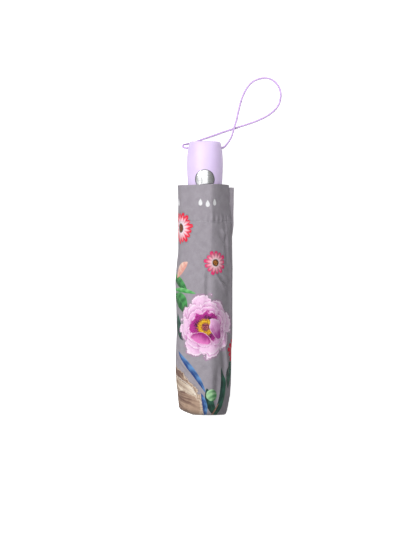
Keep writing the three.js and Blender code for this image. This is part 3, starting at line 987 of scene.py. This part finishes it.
def cylinder(name, radius, start, end, segments=96):
    """A plain cutter between two points."""
    work = bmesh.new()
    run = end - start
    bmesh.ops.create_cone(
        work, cap_ends=True, segments=segments, radius1=radius, radius2=radius, depth=run.length)
    turn = Vector((0, 0, 1)).rotation_difference(run)
    for v in work.verts:
        v.co = turn @ v.co + (start + end) / 2
    mesh = bpy.data.meshes.new(name)
    work.to_mesh(mesh)
    work.free()
    piece = bpy.data.objects.new(name, mesh)
    bpy.context.scene.collection.objects.link(piece)
    return piece


def carve(piece, cutter, operation="DIFFERENCE"):
    modifier = piece.modifiers.new("cut", "BOOLEAN")
    modifier.operation = operation
    modifier.solver = "EXACT"
    modifier.object = cutter
    apply_modifiers(piece)
    mesh = cutter.data
    bpy.data.objects.remove(cutter)
    bpy.data.meshes.remove(mesh)


def soften(piece, width, segments=3, angle=35):
    modifier = piece.modifiers.new("soft_edges", "BEVEL")
    modifier.width = width
    modifier.segments = segments
    modifier.limit_method = "ANGLE"
    modifier.angle_limit = math.radians(angle)
    modifier.harden_normals = True
    return modifier


def over_button(height):
    """The point on the button's middle line that far above the shaft's axis."""
    return Vector((0, BUTTON_Y, AXIS_Z + height))


def make_handle():
    outside = smooth_profile(BARREL, BARREL_STEPS) + BARREL_TOP
    inside = [(14.2, 137.2)] + [(r - WALL, y) for r, y in reversed(BARREL)]
    profile = in_metres(outside + inside + [outside[0]])
    piece = turned("handle_barrel", profile, HANDLE_SEGMENTS, lavender)
    carve(piece, cylinder("hole", BUTTON_HOLE, over_button(CUT_FROM), over_button(CUT_TO)))
    cord_y = CORD_POINTS[0][1] * MM
    ends = [Vector((x, cord_y, AXIS_Z)) for x in (-CUT_TO, CUT_TO)]
    carve(piece, cylinder("hole", CORD_HOLE, *ends, segments=32))
    soften(piece, 0.45 * MM)
    piece.modifiers.new("normals", "WEIGHTED_NORMAL").keep_sharp = True
    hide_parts("handle_shell")
    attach(piece, "handle")
    cap = turned("handle_cap", in_metres(CAP), HANDLE_SEGMENTS, lavender)
    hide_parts("handle_end_cap")
    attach(cap, "handle")


def make_button():
    """A round piece out of a barrel that stands a little prouder than the handle's."""
    outside = [(r + BUTTON_PROUD, y) for r, y in smooth_profile(BARREL, BARREL_STEPS)]
    profile = in_metres([(0.0, outside[0][1])] + outside + [(0.0, outside[-1][1])])
    piece = turned("button", profile, BUTTON_SEGMENTS, chrome)
    keep = cylinder("keep", BUTTON_RADIUS, over_button(BUTTON_INNER), over_button(CUT_TO))
    carve(piece, keep, "INTERSECT")
    soften(piece, 0.6 * MM, 4)
    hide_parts("push_button")
    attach(piece, "button")


# ---- wrist cord ----
CORD_STEPS = 12
CORD_RINGS = 320
CORD_SIDES = 16


def between(first, second, start, end, t):
    """The point at t on the line through first at start and second at end."""
    return ((end - t) * first + (t - start) * second) / (end - start)


def cord_route():
    """Evenly spaced points on a centripetal Catmull-Rom curve, and its length."""
    points = [np.array(p, float) for p in CORD_POINTS]
    points = [2 * points[0] - points[1], *points, 2 * points[-1] - points[-2]]
    out = []
    for i in range(1, len(points) - 2):
        p = points[i - 1:i + 3]
        k = [0.0]
        for a, b in zip(p, p[1:]):
            k.append(k[-1] + np.linalg.norm(b - a) ** 0.5)
        for t in np.linspace(k[1], k[2], CORD_STEPS, endpoint=False):
            a = [between(p[j], p[j + 1], k[j], k[j + 1], t) for j in range(3)]
            b = [between(a[j], a[j + 1], k[j], k[j + 2], t) for j in range(2)]
            out.append(between(b[0], b[1], k[1], k[2], t))
    out.append(points[-2])
    path = np.array(out) * MM
    gaps = np.concatenate([[0], np.cumsum(np.linalg.norm(np.diff(path, axis=0), axis=1))])
    even = np.linspace(0, gaps[-1], CORD_RINGS)
    return np.stack([np.interp(even, gaps, path[:, k]) for k in range(3)], axis=-1), float(gaps[-1])


def make_cord():
    path, length = cord_route()
    sides = CORD_SIDES
    radius = CORD_DIAMETER / 2 * MM
    tangents = np.gradient(path, axis=0)
    tangents /= np.linalg.norm(tangents, axis=1, keepdims=True)
    normal = np.cross(tangents[0], (0, 1, 0.2))
    points = []
    measures = []
    travelled = 0.0
    for i, (centre, tangent) in enumerate(zip(path, tangents)):
        normal = normal - tangent * (normal @ tangent)
        normal /= np.linalg.norm(normal)
        side = np.cross(tangent, normal)
        if i:
            travelled += float(np.linalg.norm(path[i] - path[i - 1]))
        for j in range(sides):
            a = 2 * math.pi * j / sides
            points.append(centre + radius * (math.cos(a) * normal + math.sin(a) * side))
            measures.append((travelled, j / sides))
    faces = grid_faces(len(path), sides, True)
    faces.append(tuple(reversed(range(sides))))
    faces.append(tuple((len(path) - 1) * sides + j for j in range(sides)))
    piece = mesh_object("wrist_loop", points, faces, braid)
    set_uv(piece, "cord", measures, wrap=1, wrapped=1)
    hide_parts("wrist_cord")
    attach(piece, "handle")


# ---- canopy ----
RIBS = 6
CROWN_Y = (crown_low.y + crown_high.y) / 2 + 1 * MM
STRIP_ROWS = 15
STRIP_COLUMNS = 25
PLEAT = 7 * MM
LAYER = 0.5 * MM
# Places along a rib, from the crown: its two hinges and its tip.
KNEE = 180 * MM
ELBOW = 4 * MM
TIP = 183.5 * MM
# How far the outer strip laps over the middle one, and how far the rim curves in between two ribs.
OVERLAP = 3 * MM
RIM_CURVE = 20 * MM
# The print's shift from one rib's strips to the next, and its place at the crown.
PRINT_SHIFT = 85 * MM
PRINT_START = 120 * MM
# Each strip's distance from the shaft's axis when furled, and its first and last place along the rib.
STRIPS = {
    "inner": (13.0 * MM, -1.2 * MM, KNEE),
    "middle": (13.5 * MM, KNEE, ELBOW),
    "outer": (20.25 * MM, ELBOW - OVERLAP, TIP),
}


def unstep(w):
    """Where the smooth step has the value w."""
    return 0.5 - math.sin(math.asin(1 - 2 * w) / 3)


def opened_matrix(joint):
    """How a hinge moves its child at its open limit, as a 4x4."""
    low, high = (math.radians(v) for v in joint["range_deg"])
    angle = low if abs(low) > abs(high) else high
    k = np.array(joint["axis"], float)
    k /= np.linalg.norm(k)
    cross = np.array([[0, -k[2], k[1]], [k[2], 0, -k[0]], [-k[1], k[0], 0]])
    turn = np.eye(3) + math.sin(angle) * cross + (1 - math.cos(angle)) * cross @ cross
    out = np.eye(4)
    out[:3, :3] = turn
    p = np.array(joint["pos_m"], float)
    out[:3, 3] = p - turn @ p
    return out


def open_places():
    """For each section of a rib, its matrix when the umbrella is open."""
    inner = opened_matrix(joints["inner_rib_hinge_1"])
    middle = inner @ opened_matrix(joints["middle_rib_hinge_1"])
    outer = middle @ opened_matrix(joints["outer_rib_hinge_1"])
    return {"inner": inner, "middle": middle, "outer": outer}


def make_strip(name, rib, opened, travelled):
    """One strip. opened is its rib section's matrix when open, and travelled the cloth before it."""
    radius, first, last = STRIPS[name]
    spoke = 2 * math.pi * rib / RIBS
    out = np.array([math.cos(spoke), 0, math.sin(spoke)])
    tangent = np.array([-math.sin(spoke), 0, math.cos(spoke)])
    crown = np.array([0, CROWN_Y, AXIS_Z])
    points = []
    measures = []
    for i in range(STRIP_ROWS):
        share = i / (STRIP_ROWS - 1)
        for j in range(STRIP_COLUMNS):
            w = j / (STRIP_COLUMNS - 1)
            along = first + (last - first) * share
            if name == "outer":
                along -= RIM_CURVE * share * 4 * w * (1 - w)
            aside = PLEAT * math.sin(math.pi * w) * min(1.0, share * 4 + 0.1)
            place = out * (radius + LAYER * unstep(w)) + tangent * aside
            points.append(place + crown + np.array([0, along, 0]))
            # where this point lies on the cloth, from its place on the open dome
            flat = opened @ np.array([radius, CROWN_Y + along, AXIS_Z, 1])
            reach = math.hypot(flat[0], flat[2] - AXIS_Z)
            turn = (w - 0.5) * 2 * math.pi / RIBS
            run = travelled + abs(along - first)
            measures.append((reach * turn + rib * PRINT_SHIFT, PRINT_START - run))
    faces = grid_faces(STRIP_ROWS, STRIP_COLUMNS, False)
    piece = mesh_object(f"canopy_{name}_{rib + 1}_cloth", points, faces, canopy_cloth)
    set_uv(piece, "cloth", measures)
    node = f"canopy_{name}_{rib + 1}"
    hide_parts(node)
    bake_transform(piece)


def make_canopy():
    """Each strip is a pleat beside its rib, furled, printed as it would lie on a sixth of the open dome's
    ring.
    """
    places = open_places()
    for rib in range(RIBS):
        travelled = 0.0
        for name, (_, first, last) in STRIPS.items():
            make_strip(name, rib, places[name], travelled)
            travelled += abs(last - first)


# ---- the frame's own pieces, which stay as the CAD has them ----
def dress(node, material, edge):
    piece = nodes[node]
    piece.data.materials.clear()
    piece.data.materials.append(material)
    smooth_shade(piece.data)
    if edge:
        soften(piece, edge, 2, 40)


def dress_frame():
    for n in range(1, RIBS + 1):
        for kind in ("rib_inner", "rib_middle", "rib_outer", "stretcher"):
            dress(f"{kind}_{n}", frame_lacquer, 0.3 * MM)
    for node in ("shaft_upper_tube", "shaft_middle_tube", "shaft_lower_tube"):
        dress(node, tube_steel, 0.15 * MM)
    for node in ("opening_spring", "button_spring"):
        dress(node, spring_steel, 0)
    for node in ("crown_hub", "runner", "handle_core"):
        dress(node, black_plastic, 0.3 * MM)
    dress("crown_cap", black_plastic, 0.4 * MM)


STRAP_ROWS = 36
STRAP_COLUMNS = 9
STRAP_THICK = 0.5 * MM
# The share of the strap's length that its rounded end takes.
STRAP_ROUNDED = 0.12


def make_tie_strap():
    """The strap, lying along the first outer rib."""
    low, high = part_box("tie_strap")
    half = (high.z - low.z) / 2
    middle_z = (high.z + low.z) / 2
    points = []
    measures = []
    for i in range(STRAP_ROWS):
        t = i / (STRAP_ROWS - 1)
        y = low.y + (high.y - low.y) * t
        past = max(0.0, (t - 1 + STRAP_ROUNDED) / STRAP_ROUNDED)
        end = math.sqrt(max(0.02, 1 - past ** 2))
        for j in range(STRAP_COLUMNS):
            u = 2 * j / (STRAP_COLUMNS - 1) - 1
            bow = 0.25 * MM * (1 - u * u) + 0.15 * MM * math.sin(t * 9 + 1)
            points.append((low.x + 0.2 * MM + bow, y, middle_z + half * 0.95 * u * end))
            measures.append((60 * MM + u * half, y))
    piece = mesh_object("strap", points, grid_faces(STRAP_ROWS, STRAP_COLUMNS, False), canopy_cloth)
    set_uv(piece, "cloth", measures)
    thick = piece.modifiers.new("thickness", "SOLIDIFY")
    thick.thickness = STRAP_THICK
    thick.offset = 0
    apply_modifiers(piece)
    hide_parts("tie_strap")
    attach(piece, "rib_outer_1")


# ---- stage ----
FLOOR_SIZE = 6
FLOOR_PALE = (0.93, 0.93, 0.93, 1)
FLOOR_GLOW = 0.75
# name, place, the point that it faces, size and power in watts
LIGHTS = (
    ("key", (-1.25, 0.4, 1.8), (0, 0, 0), (0.6, 0.9), 35),
    ("overhead", (0.05, 0.1, 2.2), (0.05, 0.1, 0), (1.3, 1.3), 6.0),
    ("handle_fill", (0.26, 0.42, 0.22), (0, 0.11, 0.02), (0.12, 0.12), 0.7),
)


def make_stage():
    work = bmesh.new()
    bmesh.ops.create_grid(work, x_segments=2, y_segments=2, size=FLOOR_SIZE)
    mesh = bpy.data.meshes.new("floor")
    work.to_mesh(mesh)
    work.free()
    floor = bpy.data.objects.new("floor", mesh)
    bpy.context.scene.collection.objects.link(floor)
    material, _, shader = new_material("floor_paper")
    shader.inputs["Base Color"].default_value = FLOOR_PALE
    shader.inputs["Roughness"].default_value = 0.9
    shader.inputs["Specular IOR Level"].default_value = 0.1
    shader.inputs["Emission Color"].default_value = (1, 1, 1, 1)
    shader.inputs["Emission Strength"].default_value = FLOOR_GLOW
    mesh.materials.append(material)
    # the floor throws no light back on the umbrella
    floor.visible_diffuse = False


def area_light(name, place, target, size, power):
    data = bpy.data.lights.new(name, "AREA")
    data.shape = "RECTANGLE"
    data.size, data.size_y = size
    data.energy = power
    light = bpy.data.objects.new(name, data)
    light.location = place
    light.visible_camera = False
    light.rotation_euler = (Vector(target) - Vector(place)).to_track_quat("-Z", "Y").to_euler()
    bpy.context.scene.collection.objects.link(light)


def make_lights():
    """The area lights, and a sky that is brighter above and at the left."""
    for light in LIGHTS:
        area_light(*light)
    world = bpy.data.worlds.new("world")
    world.use_nodes = True
    tree = world.node_tree
    side, _, up = split(tree, tree.nodes.new("ShaderNodeTexCoord").outputs["Generated"])
    strength = (up * 0.26 - side * 0.10 + 0.17).most(0.0)
    tree.links.new(strength.socket, tree.nodes["Background"].inputs["Strength"])
    tree.nodes["Background"].inputs["Color"].default_value = (1, 1, 1, 1)
    bpy.context.scene.world = world
    bpy.context.scene.view_settings.view_transform = "Standard"


make_stage()
make_lights()
make_cord()
sleeve_body, sleeve_points, sleeve_round = make_sleeve()
sewing = [make_seam_flap(), make_hem_stitches(sleeve_points)]
make_handle()
make_button()
make_canopy()
make_tie_strap()
dress_frame()
